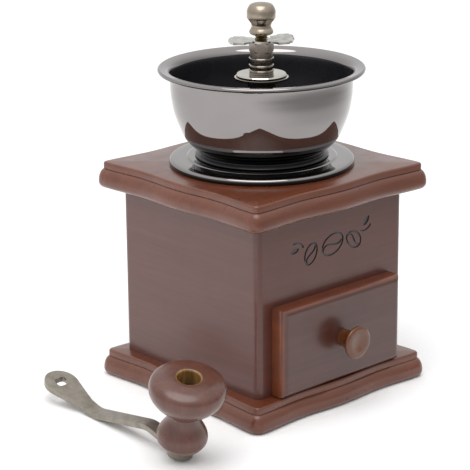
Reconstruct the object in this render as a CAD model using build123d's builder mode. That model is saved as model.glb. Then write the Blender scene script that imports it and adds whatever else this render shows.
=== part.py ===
from build123d import *
import os
from math import atan2, cos, pi, radians, sin

os.makedirs("parts", exist_ok=True)

# Box coffee mill. Millimetres, +Z up. Origin: centre of the base board's underside.
# The drawer opens towards -Y. The crank lies beside the mill, on its -X side.

# Moulded boards, top and base alike
board_half = 54.0  # to the flared corners
board_corner = 5.0
board_thick = 12.0
lobe_high = 8.9  # the heavy lower moulding
lobe_belly = 3.0  # height of the lobe's widest point
lobe_lean = 3.4  # how far the lobe leans in at its top
trough_depth = 1.4  # each side swings in between corner and middle
trough_at = 27.0
tier_inset = 2.5
tier_round = 1.1

# Walls of the case
body_half = 44.9
body_low = board_thick
body_high = 90.6
wall = 7.0
body_corner = 3.0
fixing_x = body_half - wall / 2
fixing_y = 24.0
wood_screw_r = 1.75
screw_head_r = 3.6
screw_long = 30.0
dowel_r = 2.5
dowel_long = 14.0
guide_wide = 3.0
guide_high = 8.0

# Engraved coffee beans
motif_x = 0.4
motif_z = 73.8
motif_deep = 0.4
stroke = 0.9

# Drawer
drawer_x = 0.0
front_half = 36.6
front_low = 12.6
front_high = 52.9
front_thick = 7.6
front_round = 2.8
opening_half = 31.5
opening_high = 49.5
box_half = 31.0
box_low = 12.5
box_high = 46.5
box_back = 26.0
box_wall = 4.0
floor_thick = 3.0
floor_up = 1.5  # the floor's height above the sides' lower edge
floor_groove = 2.0
knob_z = 32.1
knob_r = 7.5
knob_stem_r = 4.0
knob_long = 9.6

# Hopper and flange
throat_r = 20.4
flange_r = 41.8
flange_low = body_high + board_thick
flange_high = 106.4
sheet = 0.9
rim_z = 145.65  # centre of the rolled bead
rim_r = 45.45
bead_r = 0.95

# Grinding gear
ring_r = 27.0
ring_low = flange_high + sheet
ring_high = 110.3
housing_r = 20.2
housing_bore = 17.6
housing_low = 82.0
screw_circle_r = 23.6
hub_low = 104.0
hub_r = 8.4
arm_wide = 4.6
hub_high = 140.9
bush_bore = 4.3
running = 0.06  # radial running clearance
disc_r = 12.1
disc_high = 143.4
sleeve_r = 5.15
sleeve_high = 153.2
bead_heights = (144.9, 147.2, 150.4)
nut_high = 157.6
plate_thick = 1.0
plate_turn = -42.5
wing_r = 14.7
wing_half = 7.6
wing_lift = 5.0  # one wing is bent up, in degrees
burr_low = 84.0
burr_high = 98.0
spindle_r = 2.9
spindle_low = 76.5
spindle_high = 170.5
square = 5.2  # across the spindle's flats
shoulder = (100.4, 103.9)
cap_low = 161.0
cap_high = 175.2

# Crank, in its own frame: u along the arm from the knob's pin, w along the pin
crank_foot = (-91.2, -46.4, 1.5)
crank_along = (0.0154, 0.9616, 0.272)
crank_up = (-0.0909, -0.27, 0.9586)
neck_half = 3.2  # half the arm's width where it swells into the eye
neck_u = 65.0
slim_half = 2.9  # half the arm's width at the pin
strap_thick = 2.6
rivet_high = 1.0
seat_r = 5.7
seat_u = 20.0
elbow_u = 57.0
elbow_drop = 18.3
eye_u = 83.3
eye_long = 8.8
eye_wide = 7.2
eye_drop = 19.6
eye_square = 5.6
bend_r = 14.0
washer_thick = 0.8
pin_r = 2.5
handle_low = 4.5
handle_high = 40.6
handle_pocket_r = 4.8
handle_pocket_deep = 9.0

bottom_up = (Align.CENTER, Align.CENTER, Align.MIN)
fixings = [(x, y) for x in (-fixing_x, fixing_x) for y in (-fixing_y, fixing_y)]
screw_angles = [radians(a) for a in (90, 210, 330)]
screw_spots = [(screw_circle_r * cos(a), screw_circle_r * sin(a)) for a in screw_angles]


def save(piece, name):
    """Label one finished piece and write its STEP."""
    piece.part.label = name
    export_step(piece.part, f"parts/{name}.step")


def board_outline(inset):
    """The boards' outline: four sides that swing in twice, and round corners."""
    reach = board_half - inset
    start = board_half - board_corner
    side = [(-start, -reach), (-trough_at, trough_depth - reach), (0, 0.2 - reach)]
    side += [(trough_at, trough_depth - reach), (start, -reach)]
    with BuildSketch() as outline:
        with BuildLine():
            for turn in (0, 90, 180, 270):
                points = [Vector(*p).rotate(Axis.Z, turn) for p in side]
                along = Vector(1, 0).rotate(Axis.Z, turn)
                corner = Vector(start, -start).rotate(Axis.Z, turn)
                Spline(*points, tangents=(along, along))
                CenterArc(corner, board_corner - inset, turn - 90, 90)
        make_face()
    return outline.sketch


def lobe_sections():
    """Height and inset of the lobe's outline: a round below, a quarter ellipse above."""
    rise = lobe_high - lobe_belly
    low_turns = [radians(a) for a in (0, 30, 60)]
    high_turns = [radians(a) for a in (0, 30, 55, 75, 88)]
    below = [(lobe_belly * (1 - cos(a)), lobe_belly * (1 - sin(a))) for a in low_turns]
    above = [(lobe_belly + rise * sin(a), lobe_lean * (1 - cos(a))) for a in high_turns]
    return below + above


def moulded_board(low):
    """One board: the lobe below, and the thin rounded tier on it."""
    with BuildPart() as lobe:
        for high, inset in lobe_sections():
            with BuildSketch(Plane.XY.offset(low + high)):
                add(board_outline(inset))
        loft()
    with BuildPart() as board:
        with BuildSketch(Plane.XY.offset(low + lobe_high - 0.1)):
            add(board_outline(tier_inset))
        extrude(amount=board_thick - lobe_high + 0.1)
        fillet(board.faces().filter_by(Axis.Z).edges(), tier_round)
        add(lobe.part)
    return board.part


def wall_plan(turn):
    """Plan of one wall, mitred at both ends."""
    reach = 2 * body_half
    with BuildSketch() as plan:
        RectangleRounded(reach, reach, body_corner)
        Rectangle(reach - 2 * wall, reach - 2 * wall, mode=Mode.SUBTRACT)
        Polygon((0, 0), (-reach, -reach), (reach, -reach), rotation=turn, align=None, mode=Mode.INTERSECT)
    return plan.sketch


def bean(long, short):
    """Outline of a coffee bean with its wavy crease."""
    with BuildSketch() as shape:
        Ellipse(long, short)
        Ellipse(long - stroke, short - stroke, mode=Mode.SUBTRACT)
        with BuildLine():
            Spline(
                (0.2 - long, -0.4),
                (-0.45 * long, 0.28 * short),
                (0.45 * long, -0.28 * short),
                (long - 0.2, 0.4),
            )
        trace(line_width=stroke)
    return shape.sketch


def sprig(long):
    """A curled stem with one pointed leaf."""
    root = (0.35 * long, 0.22 * long)
    tip = (1.05 * long, 0.8 * long)
    with BuildSketch() as shape:
        with BuildLine():
            SagittaArc(root, tip, 0.2 * long)
            SagittaArc(tip, root, 0.2 * long)
        make_face()
        with BuildLine():
            SagittaArc((0, 0), (1.1 * long, 0.1 * long), -0.2 * long)
        trace(line_width=stroke)
    return shape.sketch


def inward(points, amount):
    """The same line set in by amount, towards its left."""
    moved = []
    for i, (x, y) in enumerate(points):
        before = points[max(i - 1, 0)]
        after = points[min(i + 1, len(points) - 1)]
        angle = atan2(after[1] - before[1], after[0] - before[0]) + pi / 2
        moved.append((x + amount * cos(angle), y + amount * sin(angle)))
    return moved


# ---------------------------------------------------------------- wooden case

with BuildPart() as base_board:
    add(moulded_board(0))
    with Locations(*[(x, y, 0) for x, y in fixings]):
        Cylinder(wood_screw_r, 3 * board_thick, mode=Mode.SUBTRACT)
        Cone(screw_head_r + 0.4, wood_screw_r, 2.6, align=bottom_up, mode=Mode.SUBTRACT)
save(base_board, "base_board")

with BuildPart() as top_board:
    add(moulded_board(body_high))
    with Locations((0, 0, body_high)):
        Cylinder(throat_r, 3 * board_thick, mode=Mode.SUBTRACT)
    with BuildSketch(Plane.XY.offset(body_high)):
        with Locations(*fixings):
            Circle(dowel_r)
    extrude(amount=dowel_long / 2, mode=Mode.SUBTRACT)
    with BuildSketch(Plane.XY.offset(flange_low)):
        with Locations(*screw_spots):
            Circle(wood_screw_r)
    extrude(amount=1 - board_thick, mode=Mode.SUBTRACT)
save(top_board, "top_board")

for name, turn in (("front_panel", 0), ("right_panel", 90), ("back_panel", 180), ("left_panel", 270)):
    with BuildPart() as panel:
        with BuildSketch(Plane.XY.offset(body_low)):
            add(wall_plan(turn))
        extrude(amount=body_high - body_low)
        if name == "front_panel":
            with Locations((drawer_x, -body_half, body_low)):
                Box(2 * opening_half, 3 * wall, opening_high - body_low, align=bottom_up, mode=Mode.SUBTRACT)
            with BuildSketch(Plane.XZ.offset(body_half)):
                with Locations(Location((motif_x, motif_z), 20)):
                    add(bean(7.0, 4.9))
                with Locations(Location((motif_x - 13.4, motif_z - 1.6), 62)):
                    add(bean(5.4, 3.8))
                with Locations(Location((motif_x + 13.2, motif_z - 0.6), -35)):
                    add(bean(5.4, 3.8))
                with Locations(Location((motif_x - 18.0, motif_z + 2.2), 150)):
                    add(sprig(6.0))
                with Locations(Location((motif_x + 17.6, motif_z + 2.6), 10)):
                    add(sprig(6.0))
            extrude(amount=-motif_deep, mode=Mode.SUBTRACT)
        if name in ("left_panel", "right_panel"):
            side = -fixing_x if name == "left_panel" else fixing_x
            with Locations((side, fixing_y, body_low), (side, -fixing_y, body_low)):
                Cylinder(wood_screw_r, 2 * (screw_long - board_thick + 1), mode=Mode.SUBTRACT)
            with Locations((side, fixing_y, body_high), (side, -fixing_y, body_high)):
                Cylinder(dowel_r, dowel_long, mode=Mode.SUBTRACT)
    save(panel, name)

with BuildPart() as base_screws:
    with Locations(*[(x, y, 0.4) for x, y in fixings]):
        Cylinder(wood_screw_r, screw_long, align=bottom_up)
        Cone(screw_head_r, wood_screw_r, 2.0, align=bottom_up)
        Box(0.9, 4.4, 2.4, mode=Mode.SUBTRACT)
        Box(4.4, 0.9, 2.4, mode=Mode.SUBTRACT)
save(base_screws, "base_screws")

with BuildPart() as top_dowels:
    with Locations(*[(x, y, body_high) for x, y in fixings]):
        Cylinder(dowel_r, dowel_long)
save(top_dowels, "top_dowels")

with BuildPart() as drawer_guides:
    for side in (-1, 1):
        with Locations((drawer_x + side * (box_half + 0.4 + guide_wide / 2), 0, body_low)):
            Box(guide_wide, 2 * (body_half - wall) - 2, guide_high, align=bottom_up)
save(drawer_guides, "drawer_guides")

# ---------------------------------------------------------------- drawer

front_back = -body_half - 0.1  # the front closes a hair clear of the wall
front_face = front_back - front_thick
box_long = box_back - front_back
box_mid_y = (box_back + front_back) / 2

with BuildPart() as drawer_front:
    with BuildSketch(Plane.XZ.offset(-front_back)):
        with Locations((drawer_x, (front_low + front_high) / 2)):
            Rectangle(2 * front_half, front_high - front_low)
    extrude(amount=front_thick)
    fillet(drawer_front.faces().sort_by(Axis.Y)[0].edges(), front_round)
    with BuildSketch(Plane.XZ.offset(-front_back)):
        with Locations((drawer_x, knob_z)):
            Circle(wood_screw_r)
    extrude(amount=front_thick, mode=Mode.SUBTRACT)
save(drawer_front, "drawer_front")

for name, side in (("drawer_left_side", -1), ("drawer_right_side", 1)):
    with BuildPart() as drawer_side:
        with Locations((drawer_x + side * (box_half - box_wall / 2), box_mid_y, box_low)):
            Box(box_wall, box_long, box_high - box_low, align=bottom_up)
        with Locations((drawer_x + side * (box_half - box_wall), box_mid_y, box_low + floor_up)):
            Box(2 * floor_groove, box_long, floor_thick, align=bottom_up, mode=Mode.SUBTRACT)
    save(drawer_side, name)

with BuildPart() as drawer_back:
    with Locations((drawer_x, box_back - box_wall / 2, box_low + floor_up + floor_thick)):
        back_high = box_high - box_low - floor_up - floor_thick
        Box(2 * (box_half - box_wall), box_wall, back_high, align=bottom_up)
save(drawer_back, "drawer_back")

with BuildPart() as drawer_bottom:
    with Locations((drawer_x, box_mid_y, box_low + floor_up)):
        Box(2 * (box_half - box_wall + floor_groove), box_long, floor_thick, align=bottom_up)
save(drawer_bottom, "drawer_bottom")

knob_face = front_face - knob_long
with BuildPart() as drawer_knob:
    with BuildSketch(Plane.YZ.offset(drawer_x)):
        with BuildLine():
            Polyline(
                (knob_face + 0.8, knob_z + 0.8),
                (knob_face + 0.8, knob_z),
                (front_face, knob_z),
                (front_face, knob_z + knob_stem_r),
            )
            ThreePointArc(
                (front_face, knob_z + knob_stem_r),
                (front_face - 0.45 * knob_long, knob_z + knob_stem_r + 0.8),
                (front_face - 0.82 * knob_long, knob_z + knob_r - 0.4),
            )
            ThreePointArc(
                (front_face - 0.82 * knob_long, knob_z + knob_r - 0.4),
                (front_face - 0.93 * knob_long, knob_z + knob_r),
                (knob_face, knob_z + knob_r - 0.9),
            )
            ThreePointArc(
                (knob_face, knob_z + knob_r - 0.9),
                (knob_face + 0.6, knob_z + 0.45 * knob_r),
                (knob_face + 0.8, knob_z + 0.8),
            )
        make_face()
    revolve(axis=Axis((drawer_x, 0, knob_z), (0, 1, 0)))
    with BuildSketch(Plane.XZ.offset(-front_face)):
        with Locations((drawer_x, knob_z)):
            Circle(wood_screw_r)
    extrude(amount=0.7 * knob_long, mode=Mode.SUBTRACT)
save(drawer_knob, "drawer_knob")

with BuildPart() as drawer_knob_screw:
    with BuildSketch(Plane.XZ.offset(-front_back)):
        with Locations((drawer_x, knob_z)):
            Circle(wood_screw_r)
    extrude(amount=front_thick + 0.6 * knob_long)
    with BuildSketch(Plane.XZ.offset(-front_back)):
        with Locations((drawer_x, knob_z)):
            Circle(screw_head_r)
    extrude(amount=-2.0)
    fillet(drawer_knob_screw.faces().sort_by(Axis.Y)[-1].edges(), 0.9)
save(drawer_knob_screw, "drawer_knob_screw")

# ---------------------------------------------------------------- hopper

with BuildPart() as flange_plate:
    with BuildSketch(Plane.XZ):
        with BuildLine():
            Polyline(
                (throat_r, flange_high),
                (throat_r, flange_low),
                (flange_r - 0.6, flange_low),
                (flange_r - 0.1, flange_low + 0.4),
            )
            ThreePointArc(
                (flange_r - 0.1, flange_low + 0.4),
                (flange_r - 0.1, flange_low + 2.1),
                (flange_r - 1.4, flange_low + 2.9),
            )
            Polyline(
                (flange_r - 1.4, flange_low + 2.9),
                (33.0, flange_low + 3.2),
                (32.0, flange_high),
                (throat_r, flange_high),
            )
        make_face()
    revolve(axis=Axis.Z)
    with Locations(*[(x, y, flange_high) for x, y in screw_spots]):
        Cylinder(wood_screw_r + 0.1, 3 * board_thick, mode=Mode.SUBTRACT)
save(flange_plate, "flange_plate")

foot = [(29.3, flange_high), (30.2, 106.9), (29.5, 107.8), (28.6, 108.5), (29.3, 109.5), (29.9, 110.6)]
bowl = [(30.4, 111.3), (32.4, 112.4), (35.2, 116.0), (37.0, 120.0), (38.4, 123.6), (39.5, 127.2)]
bowl += [(40.2, 130.8), (40.7, 134.4), (40.9, 138.0), (41.0, 141.0)]
bowl += [(41.3, 143.3), (42.2, 144.9), (43.6, 145.6)]
with BuildPart() as hopper_bowl:
    with BuildSketch(Plane.XZ):
        with BuildLine():
            outer = foot + bowl
            inner = inward(outer, sheet)
            Polyline(inner[0], (throat_r, ring_low), (throat_r, flange_high), outer[0])
            Spline(*outer)
            Line(outer[-1], inner[-1])
            Spline(*inner)
        make_face()
        with Locations((rim_r, rim_z)):
            Circle(bead_r)
        with Locations(((rim_r + bowl[-1][0]) / 2, bowl[-1][1] + sheet / 2)):
            Rectangle(rim_r - bowl[-1][0] + 0.2, sheet)
    revolve(axis=Axis.Z)
    with Locations(*[(x, y, flange_high) for x, y in screw_spots]):
        Cylinder(wood_screw_r + 0.1, 3 * sheet, mode=Mode.SUBTRACT)
save(hopper_bowl, "hopper_bowl")

# ---------------------------------------------------------------- grinding gear

with BuildPart() as burr_housing:
    with BuildSketch(Plane.XZ):
        with BuildLine():
            Polyline(
                (housing_bore, ring_high),
                (ring_r - 0.6, ring_high),
                (ring_r, ring_high - 0.6),
                (ring_r, ring_low),
                (housing_r, ring_low),
                (housing_r, housing_low),
                (housing_bore - 2.0, housing_low),
                (housing_bore - 2.0, burr_low),
                (housing_bore, burr_low),
                close=True,
            )
        make_face()
    revolve(axis=Axis.Z)
    with Locations(*[(x, y, ring_high) for x, y in screw_spots]):
        Cylinder(wood_screw_r + 0.1, 3 * sheet + 6, mode=Mode.SUBTRACT)
save(burr_housing, "burr_housing")

with BuildPart() as housing_spider:
    with BuildSketch(Plane.XZ):
        with BuildLine():
            Polyline(
                (bush_bore, hub_low),
                (hub_r, hub_low),
                (hub_r, ring_high),
                (6.9, ring_high + 5),
                (6.2, hub_high - 8),
                (6.2, hub_high),
                (bush_bore, hub_high),
                close=True,
            )
        make_face()
    revolve(axis=Axis.Z)
    with PolarLocations(0, 3, start_angle=30):
        with Locations(((hub_r + housing_bore) / 2, 0, hub_low)):
            Box(housing_bore - hub_r + 1, arm_wide, ring_high - hub_low, align=bottom_up)
    with Locations((0, 0, hub_low)):
        Cylinder(housing_bore, hub_high - hub_low, align=bottom_up, mode=Mode.INTERSECT)
save(housing_spider, "housing_spider")

with BuildPart() as outer_burr:
    with BuildSketch(Plane.XZ):
        Polygon(
            (housing_bore, burr_low),
            (housing_bore, burr_high),
            (16.0, burr_high),
            (13.9, 89.0),
            (13.2, burr_low),
            align=None,
        )
    revolve(axis=Axis.Z)
    with PolarLocations(14.9, 20):
        with Locations(Location((0, 0, 92.0), (12, 11, 0))):
            Box(1.9, 1.9, 20, rotation=(0, 0, 45), mode=Mode.SUBTRACT)
save(outer_burr, "outer_burr")

with BuildPart() as bearing_disc:
    with BuildSketch(Plane.XZ):
        with BuildLine():
            Polyline(
                (bush_bore, hub_high),
                (disc_r, hub_high),
                (disc_r, hub_high + 1.0),
                (disc_r - 0.7, hub_high + 1.1),
                (disc_r - 0.7, disc_high - 0.5),
                (disc_r - 1.2, disc_high),
                (bush_bore, disc_high),
                close=True,
            )
        make_face()
    revolve(axis=Axis.Z)
save(bearing_disc, "bearing_disc")

with BuildPart() as housing_screws:
    with Locations(*[(x, y, ring_high) for x, y in screw_spots]):
        Cylinder(wood_screw_r, 2 * 17.0)
        Cylinder(screw_head_r - 0.3, 2.0, align=bottom_up)
    with Locations(*[(x, y, ring_high + 2.0) for x, y in screw_spots]):
        Cylinder(screw_head_r, 40, align=bottom_up, mode=Mode.SUBTRACT)
    fillet(housing_screws.faces().group_by(Axis.Z)[-1].edges(), 0.8)
    with Locations(*[(x, y, ring_high + 2.0) for x, y in screw_spots]):
        Box(0.9, 4.2, 2.0, mode=Mode.SUBTRACT)
        Box(4.2, 0.9, 2.0, mode=Mode.SUBTRACT)
save(housing_screws, "housing_screws")

shaft_bore = spindle_r + running
spigot_low = hub_high - 0.4  # the sleeve stands in the hub by this much

with BuildPart() as adjusting_sleeve:
    with BuildSketch(Plane.XZ):
        with BuildLine():
            Polyline(
                (shaft_bore, spigot_low),
                (bush_bore - running, spigot_low),
                (bush_bore - running, disc_high + 0.1),
                (5.45, disc_high + 0.1),
                (5.45, bead_heights[0] - 0.7),
                (sleeve_r, bead_heights[0] - 0.5),
                (sleeve_r, sleeve_high),
                (shaft_bore, sleeve_high),
                close=True,
            )
        make_face()
        with Locations(*[(sleeve_r, z) for z in bead_heights]):
            Circle(0.45)
    revolve(axis=Axis.Z)
save(adjusting_sleeve, "adjusting_sleeve")

with BuildPart() as adjusting_nut:
    with BuildSketch(Plane.XY.offset(sleeve_high)):
        RegularPolygon(5.5, 6, rotation=plate_turn)
        Circle(shaft_bore, mode=Mode.SUBTRACT)
    extrude(amount=nut_high - sleeve_high)
    with BuildSketch(Plane.XZ):
        Polygon(
            (0, sleeve_high),
            (4.9, sleeve_high),
            (5.6, sleeve_high + 0.6),
            (5.6, nut_high - 0.6),
            (4.9, nut_high),
            (0, nut_high),
            align=None,
        )
    revolve(axis=Axis.Z, mode=Mode.INTERSECT)
save(adjusting_nut, "adjusting_nut")

plate_plane = Plane.XY.offset(nut_high).rotated((0, 0, plate_turn))
with BuildPart() as adjuster_plate:
    with BuildSketch(plate_plane):
        Circle(5.6)
    extrude(amount=plate_thick)
    for way, lift in ((1, wing_lift), (-1, 0)):
        with BuildSketch(plate_plane.rotated((0, -way * lift, 0))):
            Circle(wing_r)
            with Locations((4 * way + 13 * way, 0)):
                Rectangle(26, 2 * wing_half + 18, mode=Mode.INTERSECT)
            with Locations((10 * way, 0)):
                RectangleRounded(13.6, 2 * wing_half, 3.2, mode=Mode.INTERSECT)
            with PolarLocations(wing_r + 0.5, 20, start_angle=9):
                Circle(1.25, mode=Mode.SUBTRACT)
            with Locations((4.2 * way, wing_half + 1.2), (4.2 * way, -wing_half - 1.2)):
                Circle(3.6, mode=Mode.SUBTRACT)
        extrude(amount=plate_thick)
    with Locations((0, 0, nut_high)):
        Cylinder(shaft_bore, 10, mode=Mode.SUBTRACT)
save(adjuster_plate, "adjuster_plate")

with BuildPart() as spindle_bush:
    with BuildSketch(Plane.XY.offset(hub_low)):
        Circle(bush_bore - running)
        Circle(shaft_bore, mode=Mode.SUBTRACT)
    extrude(amount=spigot_low - 0.9 - hub_low)
save(spindle_bush, "spindle_bush")

with BuildPart() as spindle:
    with Locations((0, 0, spindle_low)):
        Cylinder(spindle_r, spindle_high - spindle_low, align=bottom_up)
    with Locations((0, 0, shoulder[0])):
        Cylinder(bush_bore - running, shoulder[1] - shoulder[0], align=bottom_up)
    chamfer(spindle.faces().sort_by(Axis.Z)[-1].edges(), 0.6)
    with BuildSketch(Plane.XY.offset(nut_high + plate_thick + 0.4)):
        Rectangle(20, 20)
        Rectangle(square, square, mode=Mode.SUBTRACT)
    extrude(amount=40, mode=Mode.SUBTRACT)
save(spindle, "spindle")

with BuildPart() as inner_burr:
    with BuildSketch(Plane.XZ):
        Polygon(
            (spindle_r, burr_low),
            (12.7, burr_low),
            (12.6, burr_low + 1.0),
            (10.6, 90.0),
            (6.2, burr_high),
            (spindle_r, burr_high),
            align=None,
        )
    revolve(axis=Axis.Z)
    with PolarLocations(10.9, 14):
        with Locations(Location((0, 0, 91.5), (-18, -27, 0))):
            Box(2.0, 2.0, 24, rotation=(0, 0, 45), mode=Mode.SUBTRACT)
save(inner_burr, "inner_burr")

with BuildPart() as burr_washer:
    with BuildSketch(Plane.XY.offset(burr_low - 1.2)):
        Circle(6.2)
        Circle(spindle_r, mode=Mode.SUBTRACT)
    extrude(amount=1.2)
save(burr_washer, "burr_washer")

with BuildPart() as burr_nut:
    with BuildSketch(Plane.XY.offset(burr_low - 6.0)):
        RegularPolygon(5.8, 6)
        Circle(spindle_r, mode=Mode.SUBTRACT)
    extrude(amount=4.8)
save(burr_nut, "burr_nut")

with BuildPart() as cap_nut:
    with BuildSketch(Plane.XZ):
        with BuildLine():
            Polyline((0.8, cap_high), (0, cap_high), (0, cap_low), (4.4, cap_low), (5.1, cap_low + 0.5))
            ThreePointArc((5.1, cap_low + 0.5), (5.4, cap_low + 1.2), (5.05, cap_low + 2.1))
            ThreePointArc((5.05, cap_low + 2.1), (4.4, cap_low + 3.9), (4.75, cap_low + 5.3))
            Polyline(
                (4.75, cap_low + 5.3),
                (6.4, cap_low + 7.4),
                (6.4, cap_high - 3.5),
                (5.9, cap_high - 2.2),
            )
            ThreePointArc((5.9, cap_high - 2.2), (5.0, cap_high - 1.0), (3.6, cap_high - 0.35))
            ThreePointArc((3.6, cap_high - 0.35), (2.2, cap_high - 0.1), (0.8, cap_high))
        make_face()
    revolve(axis=Axis.Z)
    with Locations((0, 0, cap_low)):
        Cylinder(shaft_bore, 2 * (spindle_high - cap_low + 0.6), mode=Mode.SUBTRACT)
save(cap_nut, "cap_nut")

# ---------------------------------------------------------------- crank

crank_plane = Plane(origin=crank_foot, x_dir=crank_along, z_dir=crank_up)
side_plane = Plane(origin=crank_foot, x_dir=crank_plane.x_dir, z_dir=-crank_plane.y_dir)
strap_mid = rivet_high + strap_thick / 2
strap_top = rivet_high + strap_thick

with BuildPart() as crank_arm:
    with BuildSketch(side_plane):
        with BuildLine():
            FilletPolyline(
                (-2 * seat_r, strap_mid),
                (seat_u, strap_mid),
                (elbow_u, strap_mid - elbow_drop),
                (eye_u + 3 * eye_wide, strap_mid - eye_drop),
                radius=bend_r,
            )
            offset(amount=strap_thick / 2, side=Side.BOTH)
        make_face()
    extrude(amount=2 * eye_wide, both=True)
    with BuildSketch(crank_plane.offset(-4 * eye_wide)):
        Circle(seat_r)
        with BuildSketch(mode=Mode.PRIVATE) as slim_arm:
            Circle(slim_half)
            with Locations((neck_u, 0)):
                Circle(neck_half)
            make_hull()
        add(slim_arm.sketch)
        with BuildSketch(mode=Mode.PRIVATE) as eye_taper:
            with Locations((eye_u, 0)):
                Ellipse(eye_long, eye_wide)
            with Locations((neck_u, 0)):
                Circle(neck_half)
            make_hull()
        add(eye_taper.sketch)
        with Locations((eye_u, 0)):
            RectangleRounded(eye_square, eye_square, 1.4, mode=Mode.SUBTRACT)
        Circle(pin_r, mode=Mode.SUBTRACT)
    extrude(amount=8 * eye_wide, mode=Mode.INTERSECT)
save(crank_arm, "crank_arm")

pocket_floor = handle_high - handle_pocket_deep
head_high = 1.8

with BuildPart() as crank_pin:
    with BuildSketch(crank_plane):
        Circle(4.4)
    extrude(amount=rivet_high, taper=20)
    with BuildSketch(crank_plane):
        Circle(pin_r)
    extrude(amount=pocket_floor + 0.5)
    with BuildSketch(crank_plane.offset(pocket_floor + 0.15)):
        Circle(4.1)
    extrude(amount=head_high)
save(crank_pin, "crank_pin")

with BuildPart() as crank_washer:
    with BuildSketch(crank_plane.offset(strap_top)):
        Circle(5.4)
        Circle(pin_r, mode=Mode.SUBTRACT)
    extrude(amount=washer_thick)
save(crank_washer, "crank_washer")

handle = [(5.6, 4.5), (9.0, 6.4), (10.8, 9.4), (10.9, 11.0), (9.9, 13.8), (7.6, 17.8)]
handle += [(6.5, 20.6), (6.5, 22.2)]
cap = [(6.5, 22.2), (8.0, 23.8), (12.6, 27.6), (15.5, 31.6), (16.2, 35.2), (15.0, 38.2)]
cap += [(12.0, 39.9), (8.0, 40.5), (5.6, 40.6)]
with BuildPart() as crank_knob:
    with BuildSketch(side_plane):
        with BuildLine():
            Spline(*handle)
            Spline(*cap)
            Polyline(
                (5.6, handle_high),
                (handle_pocket_r, handle_high - 0.8),
                (handle_pocket_r, pocket_floor),
                (pin_r + running, pocket_floor),
                (pin_r + running, handle_low),
                (5.6, handle_low),
            )
        make_face()
    revolve(axis=Axis(crank_foot, crank_up))
save(crank_knob, "crank_knob")
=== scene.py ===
import math

import bmesh
import bpy
from mathutils import Matrix, Vector


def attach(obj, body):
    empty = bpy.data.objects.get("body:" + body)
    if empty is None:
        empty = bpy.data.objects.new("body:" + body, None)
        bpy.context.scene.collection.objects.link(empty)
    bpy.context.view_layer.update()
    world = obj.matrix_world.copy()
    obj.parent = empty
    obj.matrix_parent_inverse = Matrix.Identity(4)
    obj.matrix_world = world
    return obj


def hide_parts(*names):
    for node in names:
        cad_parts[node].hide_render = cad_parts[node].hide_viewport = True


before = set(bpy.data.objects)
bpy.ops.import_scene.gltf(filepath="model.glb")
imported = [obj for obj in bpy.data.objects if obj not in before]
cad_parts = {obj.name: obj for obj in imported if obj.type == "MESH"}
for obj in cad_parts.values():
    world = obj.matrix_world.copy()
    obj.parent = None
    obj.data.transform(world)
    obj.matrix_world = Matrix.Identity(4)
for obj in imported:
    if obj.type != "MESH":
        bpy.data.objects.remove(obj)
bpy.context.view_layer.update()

# Hand coffee mill: beech box stained walnut brown, a black-nickelled hopper, a forged crank.
# Metres, +Z up along the spindle. The drawer opens towards -Y.

MM = 0.001


# ------------------------------------------------------------------ colours and nodes

def srgb(code):
    """A hex colour as linear red, green, blue and alpha."""
    parts = [int(code[i:i + 2], 16) / 255 for i in (1, 3, 5)]
    linear = [c / 12.92 if c <= 0.04045 else ((c + 0.055) / 1.055) ** 2.4 for c in parts]
    return (*linear, 1.0)


def add_node(tree, kind, sockets=None, stops=None, **settings):
    """Adds one shader node. A socket's value is a number, a colour or another node's output."""
    node = tree.nodes.new(kind)
    for key, value in settings.items():
        setattr(node, key, value)
    for key, value in (sockets or {}).items():
        if isinstance(value, bpy.types.NodeSocket):
            tree.links.new(value, node.inputs[key])
        else:
            node.inputs[key].default_value = value
    if stops:
        ramp = node.color_ramp
        while len(ramp.elements) < len(stops):
            ramp.elements.new(0.5)
        for element, (place, colour) in zip(ramp.elements, stops):
            element.position = place
            element.color = colour
    return node


def worked(tree, how, *values):
    """The result of one sum, such as a product, on numbers or other nodes' outputs."""
    return add_node(tree, "ShaderNodeMath", dict(enumerate(values)), operation=how).outputs[0]


def remapped(tree, value, low, high, to_low=0.0, to_high=1.0, how="LINEAR"):
    """The span from low to high, stretched over another span and held at its ends."""
    node = add_node(
        tree, "ShaderNodeMapRange",
        {"Value": value, "From Min": low, "From Max": high, "To Min": to_low, "To Max": to_high},
        interpolation_type=how,
    )
    return node.outputs["Result"]


def grey(value):
    return (value, value, value, 1.0)


def new_material(name, **shader):
    """A material with its Principled shader, whose plain numbers are set here."""
    material = bpy.data.materials.new(name)
    material.use_nodes = True
    tree = material.node_tree
    surface = tree.nodes["Principled BSDF"]
    for key, value in shader.items():
        surface.inputs[key.replace("_", " ")].default_value = value
    return material, tree, surface


STREAK_STRETCH = 22  # a streak is this many times as long as it is wide
NOISE_MIDDLE = (0.3, 0.7)  # nearly all of a noise's values fall in here


def streaks(tree, per_mm, along, seed, detail=5.0):
    """Noise drawn out along the grain. per_mm is how many streaks cross one millimetre."""
    place = add_node(tree, "ShaderNodeTexCoord").outputs["Object"]
    across = per_mm / MM
    scale = [across if axis not in along else across / STREAK_STRETCH for axis in "XYZ"]
    stretch = add_node(
        tree, "ShaderNodeMapping",
        {"Vector": place, "Scale": scale, "Location": (seed, seed, seed)},
    )
    noise = add_node(
        tree, "ShaderNodeTexNoise",
        {"Vector": stretch.outputs["Vector"], "Scale": 1.0, "Detail": detail, "Roughness": 0.6},
    )
    return noise.outputs["Fac"]


def clouds(tree, size_mm, seed, detail=3.0):
    """Soft even mottling with patches about size_mm across."""
    place = add_node(tree, "ShaderNodeTexCoord").outputs["Object"]
    scale = 1 / (size_mm * MM)
    noise = add_node(
        tree, "ShaderNodeTexNoise",
        {"Vector": place, "W": seed, "Scale": scale, "Detail": detail, "Roughness": 0.55},
        noise_dimensions="4D",
    )
    return noise.outputs["Fac"]


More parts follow.
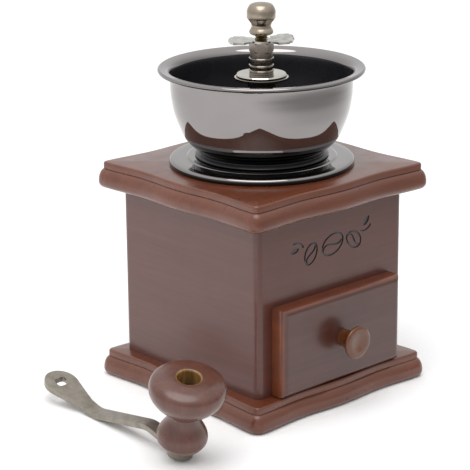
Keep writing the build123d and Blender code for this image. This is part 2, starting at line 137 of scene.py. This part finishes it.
def spread(tree, value, low, high):
    """Maps the middle of a noise's values to a span."""
    return remapped(tree, value, *NOISE_MIDDLE, low, high)


def blended(tree, factor, below, above):
    """One colour laid over another by a factor."""
    node = add_node(
        tree, "ShaderNodeMix", {0: factor, 6: below, 7: above},
        data_type="RGBA", blend_type="MIX",
    )
    return node.outputs[2]


def dented(tree, surface, height, strength, depth_mm):
    """Lays a bump of a height pattern on a surface."""
    bump = add_node(
        tree, "ShaderNodeBump",
        {"Height": height, "Strength": strength, "Distance": depth_mm * MM},
    )
    tree.links.new(bump.outputs["Normal"], surface.inputs["Normal"])


# ------------------------------------------------------------------ wood

FIBRE_PER_MM = 0.6
BAND_PER_MM = 0.16
FLECK_PER_MM = 1.9


def stained_beech(name, dark, middle, light, along, gloss, seed, print_and_painted_light=None, coat=0.35):
    """Beech, sanded, stained and sprayed with satin lacquer.

    The eye sees straight fine grain with short dark flecks, a little unevenness where the
    stain soaked in, and a soft sheen. Real flecks are 0.2 mm wide; they are drawn at 0.5 mm.
    """
    material, tree, surface = new_material(
        name, IOR=1.5, Coat_Weight=coat, Coat_Roughness=0.2, Coat_IOR=1.5
    )
    fibre = streaks(tree, FIBRE_PER_MM, along, seed)
    bands = streaks(tree, BAND_PER_MM, along, seed + 7.0, detail=4.0)
    grain = worked(tree, "MULTIPLY", worked(tree, "ADD", fibre, bands), 0.5)
    ramp = add_node(
        tree, "ShaderNodeValToRGB", {"Fac": grain},
        stops=[(0.36, srgb(dark)), (0.52, srgb(middle)), (0.68, srgb(light))],
    )
    flecks = streaks(tree, FLECK_PER_MM, along, seed + 3.0, detail=1.0)
    fleck_mask = remapped(tree, flecks, 0.6, 0.8, 0.0, 0.12)
    colour = blended(tree, fleck_mask, ramp.outputs["Color"], srgb(dark))
    soaked = spread(tree, clouds(tree, 26, seed), 0.0, 0.35)
    colour = blended(tree, soaked, colour, srgb(dark))
    # One laid-over colour: the real filled engraving on the front panel, a painted highlight on
    # the case's corners, and painted light on the drawer front's edges.
    if print_and_painted_light is not None:
        factor, shown = print_and_painted_light(tree)
        colour = blended(tree, factor, colour, srgb(shown))
    tree.links.new(colour, surface.inputs["Base Color"])
    sheen = spread(tree, clouds(tree, 9, seed + 2.0), gloss - 0.05, gloss + 0.07)
    tree.links.new(sheen, surface.inputs["Roughness"])
    dented(tree, surface, fibre, 0.1, 0.03)
    return material


def by_place(tree, axis, low, high, absolute=False):
    """0 below low and 1 above high, in millimetres along one axis of the mill."""
    place = add_node(tree, "ShaderNodeTexCoord").outputs["Object"]
    value = add_node(tree, "ShaderNodeSeparateXYZ", {0: place}).outputs[axis]
    if absolute:
        value = worked(tree, "ABSOLUTE", value)
    return remapped(tree, value, low * MM, high * MM, how="SMOOTHSTEP")


def all_of(tree, *factors):
    """The product of several masks."""
    value = factors[0]
    for factor in factors[1:]:
        value = worked(tree, "MULTIPLY", value, factor)
    return value


def none_of(tree, factor):
    """The opposite of a mask."""
    return worked(tree, "SUBTRACT", 1.0, factor)


# Where each mask starts and is full, in millimetres.
# The case's corners: where the painted highlight starts and is full.
PAINTED_HIGHLIGHT_CORNER = (43.0, 44.7)
# The drawer front's top and side edges, which carry painted light.
DRAWER_TOP_EDGE = (51.0, 52.2)
DRAWER_SIDE_EDGE = (35.2, 36.2)
MOTIF_MOUTH = (-44.86, -44.82)
MOTIF_FLOOR = (-44.3, -44.2)
MOTIF_LEFT = (-32.0, -31.9)
MOTIF_RIGHT = (34.0, 34.1)
MOTIF_BOTTOM = (60.0, 60.1)


def painted_corner_highlight(tree):
    """The case's upright corners painted lighter and greyer in soft patches: a painted highlight.
    """
    corner = all_of(
        tree,
        by_place(tree, "X", *PAINTED_HIGHLIGHT_CORNER, absolute=True),
        by_place(tree, "Y", *PAINTED_HIGHLIGHT_CORNER, absolute=True),
    )
    patchy = spread(tree, clouds(tree, 5, 11.0), 0.05, 0.3)
    return all_of(tree, corner, patchy), "#7A5245"


def painted_edge_light(tree):
    """The drawer front's rounded top and side edges painted a lighter orange-brown in soft
    patches: painted light from above and the front.
    """
    top = by_place(tree, "Z", *DRAWER_TOP_EDGE)
    side = by_place(tree, "X", *DRAWER_SIDE_EDGE, absolute=True)
    patchy = spread(tree, clouds(tree, 6, 13.0), 0.35, 0.8)
    return all_of(tree, worked(tree, "MAXIMUM", top, side), patchy), "#763C1E"


def engraved(tree):
    """The engraved beans are filled with a dark slate-brown."""
    inside = all_of(
        tree,
        by_place(tree, "Y", *MOTIF_MOUTH),
        by_place(tree, "X", *MOTIF_LEFT),
        by_place(tree, "Z", *MOTIF_BOTTOM),
        none_of(tree, by_place(tree, "Y", *MOTIF_FLOOR)),
        none_of(tree, by_place(tree, "X", *MOTIF_RIGHT)),
    )
    return inside, "#231F22"


case_wood = stained_beech(
    "stained_beech_case", "#4C2820", "#542E27", "#5B342B", "XY", 0.34, 1.0, painted_corner_highlight)
# The front panel's colours are the case's made darker: painted shade on the side facing -Y, which
# gets less light. The engraved motif on it is real.
front_wood_painted_shade = stained_beech(
    "stained_beech_front_painted_shade", "#4A2319", "#52281D", "#592D21", "XY", 0.34, 4.0, engraved)
board_wood = stained_beech(
    "stained_beech_boards", "#552918", "#62321D", "#6C3A22", "X", 0.30, 9.0)
# The drawer front's colours are darker still than the case's: painted shade on the side facing -Y.
# Its rounded edges carry painted light.
drawer_wood_painted_shade = stained_beech(
    "stained_beech_drawer_painted_shade", "#42221A", "#4A2820", "#512D24", "X", 0.34, 15.0, painted_edge_light)
knob_wood = stained_beech(
    "lacquered_beech_knob", "#4C2810", "#5F3315", "#71401B", "Y", 0.2, 21.0)
handle_wood = stained_beech(
    "stained_beech_handle", "#4C2A20", "#5A3529", "#673F31", "Z", 0.3, 27.0)
# Paler golden wood for the crank knob's hole: a painted highlight for the varnish catching the
# light.
bore_wood_painted_highlight = stained_beech(
    "lacquered_bore_painted_highlight", "#5C4020", "#7C5A30", "#A07A48", "Z", 0.2, 29.0)
bare_beech = stained_beech(
    "bare_beech", "#A98257", "#C09A6C", "#CFAE84", "Y", 0.62, 33.0, coat=0.0)


# ------------------------------------------------------------------ metal

def plated(name, hue, smudge, smooth, rough, seed, grit_mm, dent_mm=0.0, metal=1.0):
    """A plated or worked finish: its colour, faint patches of a second one, and wipe marks."""
    material, tree, surface = new_material(name, Metallic=metal)
    patches = spread(tree, clouds(tree, grit_mm * 4, seed), 0.0, 1.0)
    colour = blended(tree, patches, srgb(hue), srgb(smudge))
    tree.links.new(colour, surface.inputs["Base Color"])
    wiped = spread(tree, clouds(tree, grit_mm, seed + 5.0, detail=6.0), smooth, rough)
    tree.links.new(wiped, surface.inputs["Roughness"])
    if dent_mm:
        dented(tree, surface, clouds(tree, grit_mm * 0.35, seed + 8.0, detail=5.0), 0.6, dent_mm)
    return material


# Black nickel over polished steel: a dark mirror with faint wipe marks.
black_nickel = plated("black_nickel", "#928E8D", "#898584", 0.035, 0.07, 40.0, 9.0)
# The same plating inside the bowl, nearly black and unpolished, with a little bloom on it.
inner_nickel = plated(
    "black_nickel_inside", "#353538", "#2A2A2D", 0.22, 0.34, 43.0, 9.0, metal=0.5)
# Near-black plating on the bowl's neck, under the rim's bead and on the flange's outer edge: a
# painted dark reflection.
painted_dark_nickel = plated("black_nickel_painted_dark", "#363534", "#292828", 0.06, 0.12, 44.0, 9.0)
# Bright nickel: a clear mirror, a little warm.
bright_nickel = plated("bright_nickel", "#C4C0B8", "#ABA69D", 0.1, 0.18, 46.0, 3.0, 0.008)
# Nickel on stamped plate: a paler mirror broken by shallow pits.
pitted_nickel = plated("pitted_nickel", "#CFCCC5", "#97938C", 0.12, 0.28, 47.0, 0.7, 0.05)
# Dark nickel on turned steel: brown-grey, with fine tool marks.
dark_nickel = plated("dark_nickel", "#ABA197", "#837B72", 0.14, 0.26, 49.0, 2.0, 0.006)
# Satin nickel: a soft warm grey that smears its highlights.
satin_nickel = plated("satin_nickel", "#AB9F91", "#8F8476", 0.22, 0.33, 52.0, 1.6, 0.008)
# Zinc plate: pale, slightly blue, dull.
zinc_plate = plated("zinc_plate", "#B9BCBF", "#A2A5A8", 0.3, 0.42, 55.0, 1.5, 0.01)
# Yellow-passivated thread: brassy, with oil in the roots.
yellow_steel = plated("yellow_passivated_steel", "#9A8A5E", "#5E5236", 0.25, 0.4, 58.0, 0.8, 0.01)
# Tumbled steel, forged and barrel-polished: warm grey, with shallow pits left from the scale.
tumbled_steel = plated("tumbled_steel", "#9A9389", "#827B70", 0.26, 0.42, 61.0, 0.9, 0.03)
# Grey cast iron, as cast and oiled: near black, with a sandy skin.
cast_iron = plated("cast_iron", "#4A4947", "#3A3937", 0.45, 0.62, 64.0, 1.2, 0.12)
# Turned brass bush.
turned_brass = plated("turned_brass", "#C9A25A", "#B48C46", 0.18, 0.3, 67.0, 1.5, 0.006)


# ------------------------------------------------------------------ shapes

MERGE_DISTANCE = 1e-6


def make_piece(name, points, faces, body, nodes, materials):
    """One new piece of the mill, in place, riding on its body."""
    mesh = bpy.data.meshes.new(name)
    mesh.from_pydata(points, [], faces)
    for material in materials:
        mesh.materials.append(material)
    work = bmesh.new()
    work.from_mesh(mesh)
    bmesh.ops.remove_doubles(work, verts=work.verts, dist=MERGE_DISTANCE)
    bmesh.ops.recalc_face_normals(work, faces=work.faces)
    work.to_mesh(mesh)
    work.free()
    for face in mesh.polygons:
        face.use_smooth = True
    piece = bpy.data.objects.new(name, mesh)
    bpy.context.collection.objects.link(piece)
    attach(piece, body)
    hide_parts(*nodes)
    return piece


def skin(rows, around, closed):
    """The faces from each ring of points to the next, and from the last to the first if closed."""
    faces = []
    for row in range(rows if closed else rows - 1):
        low, high = row * around, (row + 1) % rows * around
        for k in range(around):
            m = (k + 1) % around
            faces.append((low + k, low + m, high + m, high + k))
    return faces


def crisp(piece, degrees):
    """Marks the sharp edges of a smooth-shaded mesh, so that they stay crisp."""
    mesh = piece.data
    work = bmesh.new()
    work.from_mesh(mesh)
    limit = math.radians(degrees)
    for edge in work.edges:
        edge.smooth = len(edge.link_faces) != 2 or edge.calc_face_angle(0) < limit
    work.to_mesh(mesh)
    work.free()


def eased(points, steps=6):
    """A smooth line through points, each given as (radius, height)."""
    line = []
    for i in range(len(points) - 1):
        before = Vector(points[max(i - 1, 0)])
        start = Vector(points[i])
        end = Vector(points[i + 1])
        after = Vector(points[min(i + 2, len(points) - 1)])
        for k in range(steps):
            t = k / steps
            a = 2 * start
            b = (end - before) * t
            c = (2 * before - 5 * start + 4 * end - after) * t * t
            d = (3 * start - before - 3 * end + after) * t ** 3
            line.append((a + b + c + d) / 2)
    return line + [Vector(points[-1])]


def bow(centre, radius, start, end, steps):
    """Points on an arc, angles in degrees."""
    angles = [math.radians(start + (end - start) * k / steps) for k in range(steps + 1)]
    return [(centre[0] + radius * math.cos(a), centre[1] + radius * math.sin(a)) for a in angles]


def turned(name, profile, body, nodes, materials, around, foot=(0, 0, 0), up=(0, 0, 1)):
    """A lathe-turned piece. The profile is (radius, height), closed on itself or on the axis."""
    axis = Vector(up).normalized()
    side = axis.orthogonal().normalized()
    other = axis.cross(side)
    points = []
    for radius, height in profile:
        for k in range(around):
            a = 2 * math.pi * k / around
            out = side * math.cos(a) + other * math.sin(a)
            points.append((Vector(foot) + out * max(radius, 0) + axis * height) * MM)
    hollow = profile[0][0] > 0 or profile[-1][0] > 0
    faces = skin(len(profile), around, hollow)
    return make_piece(name, points, faces, body, nodes, materials)


# ------------------------------------------------------------------ boards

# Millimetres, as the boards are made: the outline, then the moulding from the underside up.
BOARD_HALF = 54.0
BOARD_CORNER = 5.0
TROUGH = 1.4
EDGE_STEPS = 32
CORNER_STEPS = 10
LOBE_HIGH = 8.9
LOBE_BELLY = 3.0
LOBE_LEAN = 3.4
TIER_INSET = 2.5
TIER_ROUND = 1.1
BOARD_THICK = 12.0
HOLE_MARGIN = 6.0
TOP_BOARD_LOW = 90.6
SCREW_HOLE = 3.0
THROAT = 20.4  # the round way through the top board, the flange and the bowl


def board_edge(inset):
    """A board's outline, counter-clockwise: four sides that swing in twice, and round corners."""
    reach = BOARD_HALF - inset
    start = BOARD_HALF - BOARD_CORNER
    outline = []
    for turn in range(4):
        side = []
        for k in range(EDGE_STEPS + 1):
            x = -start + 2 * start * k / EDGE_STEPS
            swing = TROUGH * math.sin(math.pi * min(abs(x), start) / start) ** 2
            side.append((x, swing - reach))
        side += bow((start, -start), BOARD_CORNER - inset, -90, 0, CORNER_STEPS)[1:-1]
        c, s = math.cos(turn * math.pi / 2), math.sin(turn * math.pi / 2)
        outline += [(x * c - y * s, x * s + y * c) for x, y in side]
    return outline


def board_section():
    """Inset and height of the moulding, from the underside to the edge of the flat top."""

    def rounding(across, up, foot, degrees, starts_flat=False):
        """A quarter of an oval: its inset and height at each angle."""
        line = []
        for a in map(math.radians, degrees):
            if starts_flat:
                line.append((across * (1 - math.sin(a)), foot + up * (1 - math.cos(a))))
            else:
                line.append((across * (1 - math.cos(a)), foot + up * math.sin(a)))
        return line

    section = rounding(LOBE_BELLY, LOBE_BELLY, 0.0, range(0, 91, 10), starts_flat=True)
    section += rounding(LOBE_LEAN, LOBE_HIGH - LOBE_BELLY, LOBE_BELLY, range(9, 82, 9))
    section += [(TIER_INSET + 0.5, LOBE_HIGH - 0.25), (TIER_INSET + 0.25, LOBE_HIGH - 0.12)]
    section += [(TIER_INSET, LOBE_HIGH + 0.1), (TIER_INSET, BOARD_THICK - TIER_ROUND)]
    tier = rounding(TIER_ROUND, TIER_ROUND, BOARD_THICK - TIER_ROUND, range(18, 91, 18))
    return section + [(TIER_INSET + inset, high) for inset, high in tier]


def moulded_board(name, low, hole, node):
    """One board with a round hole through it. hole is the hole's radius."""
    rings = [[(x, y, low + high) for x, y in board_edge(inset)] for inset, high in board_section()]
    outline = rings[0]
    margin = hole + HOLE_MARGIN
    for radius, high in ((margin, BOARD_THICK), (hole, BOARD_THICK), (hole, 0.0), (margin, 0.0)):
        ring = []
        for x, y, _ in outline:
            angle = math.atan2(y, x)
            ring.append((radius * math.cos(angle), radius * math.sin(angle), low + high))
        rings.append(ring)
    points = [Vector(p) * MM for ring in rings for p in ring]
    faces = skin(len(rings), len(outline), True)
    board = make_piece(name, points, faces, "case", [node], [board_wood])
    crisp(board, 40)


moulded_board("moulded_base_board", 0.0, SCREW_HOLE, "base_board")
moulded_board("moulded_top_board", TOP_BOARD_LOW, THROAT, "top_board")


# ------------------------------------------------------------------ hopper

FLANGE_LOW = 102.6
FLANGE_HIGH = 106.4
FLANGE_RIM = 41.2
FLANGE_STEP = (38.0, 105.7)
flange_rim = [(FLANGE_RIM, FLANGE_LOW), (41.75, 103.0), (41.8, 104.1), (41.45, 105.0)]
flange_rim += [(40.5, 105.5), FLANGE_STEP]
flange_top = [FLANGE_STEP, (34.6, 105.72), (33.9, 105.85), (33.5, 106.15)]
flange_top += [(33.0, 106.36), (32.2, FLANGE_HIGH)]
flange_line = [(THROAT, FLANGE_LOW), (FLANGE_RIM, FLANGE_LOW)]
flange_line += eased(flange_rim, 6) + eased(flange_top, 5)[1:] + [(THROAT, FLANGE_HIGH)]
flange = turned("spun_flange", flange_line, "case", ["flange_plate"],
                [black_nickel, painted_dark_nickel], 192)
crisp(flange, 45)

DARK_RIM_OUT = 41.0  # the flange's edge takes the near-black plating, a painted dark reflection, from here out
DARK_RIM_TOP = 104.5  # and from here down
for face in flange.data.polygons:
    middle = face.center / MM
    if math.hypot(middle.x, middle.y) > DARK_RIM_OUT and middle.z < DARK_RIM_TOP:
        face.material_index = 1

SHEET = 0.9
bowl_foot = [(29.3, FLANGE_HIGH), (30.2, 106.9), (29.5, 107.8), (28.6, 108.5), (29.3, 109.5)]
bowl_foot += [(29.9, 110.6), (30.4, 111.3)]
bowl_side = [(30.4, 111.3), (32.4, 112.4), (35.2, 116.0), (37.0, 120.0), (38.4, 123.6)]
bowl_side += [(39.5, 127.2), (40.2, 130.8), (40.7, 134.4), (40.9, 138.0), (41.0, 141.0)]
bowl_side += [(41.3, 143.3), (42.2, 144.9), (43.6, 145.6)]
outer_line = eased(bowl_foot, 5)[:-1] + eased(bowl_side, 6)


def set_in(line, amount):
    """The same line moved to its left."""
    moved = []
    for i, here in enumerate(line):
        way = Vector(line[min(i + 1, len(line) - 1)]) - Vector(line[max(i - 1, 0)])
        way.normalize()
        moved.append(Vector((here[0] - way.y * amount, here[1] + way.x * amount)))
    return moved


bead = bow((45.45, 145.65), 0.95, 200, 480, 22)
bowl_line = [(THROAT, FLANGE_HIGH), *outer_line, *bead, *set_in(outer_line, SHEET)[::-1]]
bowl_line += [(THROAT, FLANGE_HIGH + SHEET)]
bowl = turned("hopper_shell", bowl_line, "case", ["hopper_bowl"],
              [black_nickel, inner_nickel, painted_dark_nickel], 192)
crisp(bowl, 60)

BOWL_FLOOR = (107.2, 112.0)
BOWL_FLOOR_OUT = 33.0
BOWL_INSIDE = (107.4, 143.4)
NECK_TOP = 115.4
UNDER_BEAD = (144.2, 145.5)
UNDER_BEAD_OUT = 44.4


def bowl_finish_and_painted_dark(face):
    """0 for the polished outside, 1 for the inside and 2 for the near-black plating painted on the
    neck and under the bead as a dark reflection.
    """
    middle = face.center / MM
    out = math.hypot(middle.x, middle.y)
    facing_in = face.normal.x * middle.x + face.normal.y * middle.y < -0.2 * out
    on_floor = (
        out < BOWL_FLOOR_OUT
        and BOWL_FLOOR[0] < middle.z < BOWL_FLOOR[1]
        and face.normal.z > 0.3
    )
    if on_floor or (facing_in and BOWL_INSIDE[0] < middle.z < BOWL_INSIDE[1]):
        return 1
    under_bead = UNDER_BEAD[0] < middle.z < UNDER_BEAD[1] and out > UNDER_BEAD_OUT
    return 2 if middle.z < NECK_TOP or under_bead else 0


for face in bowl.data.polygons:
    face.material_index = bowl_finish_and_painted_dark(face)


# ------------------------------------------------------------------ spindle, adjuster, cap nut

THREAD_STEPS = 10  # rings of points to each turn of the thread
THREAD_SIDES = 64
THREAD_SINK = 0.30  # shares of the pitch
THREAD_CREST = 0.31
THREAD_FADE = 0.5


def threaded_spindle(foot, low, high, radius, pitch, flats, flats_low):
    """The spindle: plain below, a rolled thread above, with four flats cut on it."""
    angles = [2 * math.pi * k / THREAD_SIDES for k in range(THREAD_SIDES)]
    rows = int((high - low) / pitch * THREAD_STEPS)
    points = []

    def add_point(size, angle, height):
        points.append(Vector((size * math.cos(angle), size * math.sin(angle), height)) * MM)

    for height in (foot, low):
        for angle in angles:
            add_point(radius, angle, height)
    for row in range(rows + 1):
        height = low + (high - low) * row / rows
        fade = min(1.0, (high - height) / THREAD_FADE)
        for k, angle in enumerate(angles):
            wave = ((height - low) / pitch - k / THREAD_SIDES) % 1
            crest = THREAD_CREST * pitch * (abs(2 * wave - 1) * 2 - 1)
            size = radius - THREAD_SINK * pitch + crest * fade
            if height > flats_low:
                size = min(size, flats / 2 / max(abs(math.cos(angle)), abs(math.sin(angle))))
            add_point(size, angle, height)
    faces = skin(rows + 3, THREAD_SIDES, False)
    faces.append(tuple(range(THREAD_SIDES))[::-1])
    faces.append(tuple((rows + 2) * THREAD_SIDES + k for k in range(THREAD_SIDES)))
    piece = make_piece("threaded_spindle", points, faces, "spindle", ["spindle"],
                       [yellow_steel])
    crisp(piece, 50)


threaded_spindle(
    foot=76.5, low=157.8, high=170.5, radius=2.9, pitch=1.0, flats=5.2, flats_low=159.0)

CAP_LOW = 161.0
cap_foot = [(4.4, CAP_LOW), (5.1, 161.5), (5.4, 162.2), (5.05, 163.1), (4.5, 164.1), (4.4, 165.1)]
cap_foot += [(4.75, 166.3)]
cap_dome = [(5.9, 172.9), (5.0, 174.2), (3.6, 174.85), (1.8, 175.13), (0.0, 175.2)]
cap_line = [(0, CAP_LOW), (4.4, CAP_LOW)] + eased(cap_foot, 5)
cap_line += [(6.1, 168.0), (6.4, 168.5), (6.4, 171.6), (6.25, 172.0), (5.9, 172.9)]
cap_line += eased(cap_dome, 5)[1:]
cap_nut = turned("turned_cap_nut", cap_line, "cap_nut", ["cap_nut"],
                 [satin_nickel], 96)
crisp(cap_nut, 50)

SLEEVE_BORE = 3.1
SLEEVE_OUT = 5.15
SLEEVE_LOW = 140.5
SLEEVE_HIGH = 153.2
sleeve_line = [(SLEEVE_BORE, SLEEVE_LOW), (4.24, SLEEVE_LOW), (4.24, 143.5), (5.45, 143.5)]
sleeve_line += [(5.45, 144.2), (SLEEVE_OUT, 144.3)]
for ring_z in (144.9, 147.2, 150.4):
    sleeve_line += [(SLEEVE_OUT, ring_z - 0.46)]
    sleeve_line += bow((SLEEVE_OUT, ring_z), 0.45, -80, 80, 8)
    sleeve_line += [(SLEEVE_OUT, ring_z + 0.46)]
sleeve_line += [(SLEEVE_OUT, SLEEVE_HIGH), (SLEEVE_BORE, SLEEVE_HIGH)]
sleeve = turned("ribbed_sleeve", sleeve_line, "adjuster", ["adjusting_sleeve"],
                [dark_nickel], 96)
crisp(sleeve, 50)


# ------------------------------------------------------------------ drawer knob

KNOB_Z = 32.1
FRONT_FACE = 52.6
knob_side = [(4.0, 0.0), (4.05, 1.6), (4.3, 3.4), (5.1, 5.2), (6.4, 6.7), (7.2, 7.7), (7.5, 8.5)]
knob_side += [(7.25, 9.2), (6.4, 9.55), (4.8, 9.6), (3.2, 9.35), (1.6, 9.1), (0.0, 9.0)]
drawer_knob = turned("turned_drawer_knob", [(0.0, 0.0)] + eased(knob_side, 5), "drawer",
                     ["drawer_knob"], [knob_wood], 96,
                     foot=(0.0, -FRONT_FACE, KNOB_Z), up=(0, -1, 0))
crisp(drawer_knob, 60)


# ------------------------------------------------------------------ crank knob

CRANK_FOOT = (-91.2, -46.4, 1.5)
CRANK_UP = (-0.0909, -0.27, 0.9586)
PIN_BORE = 2.58
handle_foot = [(5.6, 4.5), (9.0, 6.4), (10.7, 9.2)]
handle_waist = [(10.8, 9.8), (10.75, 11.4), (9.9, 13.8), (7.6, 17.8), (6.6, 20.4), (6.5, 21.9)]
handle_head = [(6.8, 22.4), (8.2, 23.9), (12.6, 27.6), (15.5, 31.6), (16.2, 35.2), (15.0, 38.2)]
handle_head += [(12.0, 39.9), (8.4, 40.5), (5.6, 40.6), (4.95, 40.2), (4.8, 39.6)]
handle_line = [(PIN_BORE, 4.5), (5.6, 4.5)] + eased(handle_foot, 5)[1:]
handle_line += [(10.55, 9.5), (10.8, 9.8)] + eased(handle_waist, 5)[1:]
handle_line += [(6.3, 22.1), (6.8, 22.4)] + eased(handle_head, 5)[1:]
handle_line += [(4.8, 31.6), (PIN_BORE, 31.6)]
crank_knob = turned("turned_crank_knob", handle_line, "crank_knob", ["crank_knob"],
                    [handle_wood, bore_wood_painted_highlight], 128, foot=CRANK_FOOT, up=CRANK_UP)
crisp(crank_knob, 50)

HOLE_LOW = 30.0  # the knob's hole, painted paler as a painted highlight of varnish catching the light: up from here, and out to the next
HOLE_OUT = 5.5
crank_axis = Vector(CRANK_UP).normalized()
for face in crank_knob.data.polygons:
    reach = face.center / MM - Vector(CRANK_FOOT)
    height = reach.dot(crank_axis)
    if height > HOLE_LOW and (reach - crank_axis * height).length < HOLE_OUT:
        face.material_index = 1


# ------------------------------------------------------------------ finishes of the CAD nodes

KEPT = {
    "front_panel": front_wood_painted_shade,
    "right_panel": case_wood, "back_panel": case_wood, "left_panel": case_wood,
    "top_dowels": bare_beech, "drawer_guides": bare_beech,
    "drawer_front": drawer_wood_painted_shade,
    "drawer_left_side": bare_beech, "drawer_right_side": bare_beech,
    "drawer_back": bare_beech, "drawer_bottom": bare_beech,
    "base_screws": zinc_plate, "drawer_knob_screw": zinc_plate, "housing_screws": zinc_plate,
    "burr_washer": zinc_plate, "burr_nut": zinc_plate,
    "burr_housing": cast_iron, "housing_spider": cast_iron,
    "outer_burr": cast_iron, "inner_burr": cast_iron,
    "bearing_disc": bright_nickel,
    "adjusting_nut": dark_nickel,
    "adjuster_plate": pitted_nickel,
    "spindle_bush": turned_brass,
    "crank_arm": tumbled_steel, "crank_pin": tumbled_steel, "crank_washer": tumbled_steel,
}
# How wide each of these nodes' worn edges are, in millimetres.
SOFTENED = {
    "crank_arm": 0.55, "adjuster_plate": 0.22, "adjusting_nut": 0.18,
    "bearing_disc": 0.15, "burr_nut": 0.2,
}

for node_name, finish in KEPT.items():
    cad_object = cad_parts[node_name]
    cad_object.data.materials.clear()
    cad_object.data.materials.append(finish)
    if node_name in SOFTENED:
        bevel = cad_object.modifiers.new("worn_edges", "BEVEL")
        bevel.width = SOFTENED[node_name] * MM
        bevel.segments = 3
        bevel.limit_method = "ANGLE"
        bevel.angle_limit = math.radians(40)


# ------------------------------------------------------------------ table, light and camera

DIM_SIDE = (0.35, -0.937, 0.0)  # the side of the room with less light


def towards_dim_side(tree, place, low, high):
    """0 to 1 as a place or a direction moves towards the dim side of the room."""
    share = add_node(
        tree, "ShaderNodeVectorMath", {0: place, 1: DIM_SIDE}, operation="DOT_PRODUCT")
    return remapped(tree, share.outputs["Value"], low, high, how="SMOOTHSTEP")


def unseen(tree, factor):
    """The factor in reflections and bounced light, and 0 where the room itself is seen."""
    ray = add_node(tree, "ShaderNodeLightPath").outputs["Is Camera Ray"]
    return worked(tree, "MULTIPLY", factor, none_of(tree, ray))


TABLE_REACH = 4


def table_top():
    """A wide white paper table, which bounces less light back on the drawer's side."""
    corners = [(-1, -1), (1, -1), (1, 1), (-1, 1)]
    mesh = bpy.data.meshes.new("table_top")
    points = [(x * TABLE_REACH, y * TABLE_REACH, 0) for x, y in corners]
    mesh.from_pydata(points, [], [(0, 1, 2, 3)])
    table = bpy.data.objects.new("table_top", mesh)
    bpy.context.collection.objects.link(table)
    paper, tree, surface = new_material("white_paper", Roughness=0.9)
    fleck = spread(tree, clouds(tree, 2, 90.0), 0.90, 0.93)
    shade = add_node(tree, "ShaderNodeCombineColor", {0: fleck, 1: fleck, 2: fleck})
    place = add_node(tree, "ShaderNodeTexCoord").outputs["Object"]
    edge = unseen(tree, towards_dim_side(tree, place, 0.08, 0.5))
    tree.links.new(blended(tree, edge, shade.outputs[0], grey(0.4)), surface.inputs["Base Color"])
    mesh.materials.append(paper)


def studio():
    """A white tent, brightest overhead and dimmest low on the drawer's side."""
    world = bpy.data.worlds.new("white_studio")
    world.use_nodes = True
    tree = world.node_tree
    way = add_node(tree, "ShaderNodeTexCoord").outputs["Generated"]
    height = add_node(tree, "ShaderNodeSeparateXYZ", {0: way}).outputs["Z"]
    roof = remapped(tree, height, 0.1, 0.95, how="SMOOTHSTEP")
    walls = blended(tree, towards_dim_side(tree, way, -0.2, 0.9), grey(0.86), grey(0.5))
    room = blended(tree, roof, walls, grey(1.15))
    tent = blended(tree, unseen(tree, 1.0), grey(1.0), room)
    tree.links.new(tent, tree.nodes["Background"].inputs["Color"])
    tree.nodes["Background"].inputs["Strength"].default_value = 1.0
    bpy.context.scene.world = world


LIT_POINT = (0, 0, 0.08)


def soft_lamp(name, place, size, power, mirrored):
    """A round softbox aimed at the mill. mirrored is whether it shows in reflections."""
    lamp = bpy.data.lights.new(name, "AREA")
    lamp.shape = "DISK"
    lamp.size = size
    lamp.energy = power
    holder = bpy.data.objects.new(name, lamp)
    bpy.context.collection.objects.link(holder)
    holder.location = place
    way = Vector(LIT_POINT) - Vector(place)
    holder.rotation_euler = way.to_track_quat("-Z", "Y").to_euler()
    holder.visible_glossy = mirrored


table_top()
studio()
soft_lamp("overhead_softbox", (-0.35, -0.25, 1.2), 1.1, 8.0, True)
soft_lamp("left_softbox", (-1.2, 0.2, 0.7), 0.8, 2.0, False)
bpy.context.scene.view_settings.view_transform = "Standard"

# The camera's direction in degrees, and where it looks and from how far in millimetres.
AZIMUTH, ELEVATION, ROLL = -42.221, 17.283, -0.503
AIM = (-9.2, 8.35, 68.0)
AWAY = 879.5

lens = bpy.data.cameras.new("camera")
lens.sensor_width = 36.0
lens.lens = 147.4
lens.clip_start = 0.05
camera = bpy.data.objects.new("camera", lens)
bpy.context.collection.objects.link(camera)
turn = (
    Matrix.Rotation(math.radians(AZIMUTH), 4, "Z")
    @ Matrix.Rotation(math.radians(90 - ELEVATION), 4, "X")
    @ Matrix.Rotation(math.radians(ROLL), 4, "Z")
)
back_off = turn.to_3x3() @ Vector((0, 0, AWAY * MM))
camera.matrix_world = Matrix.Translation(Vector(AIM) * MM + back_off) @ turn
bpy.context.scene.camera = camera
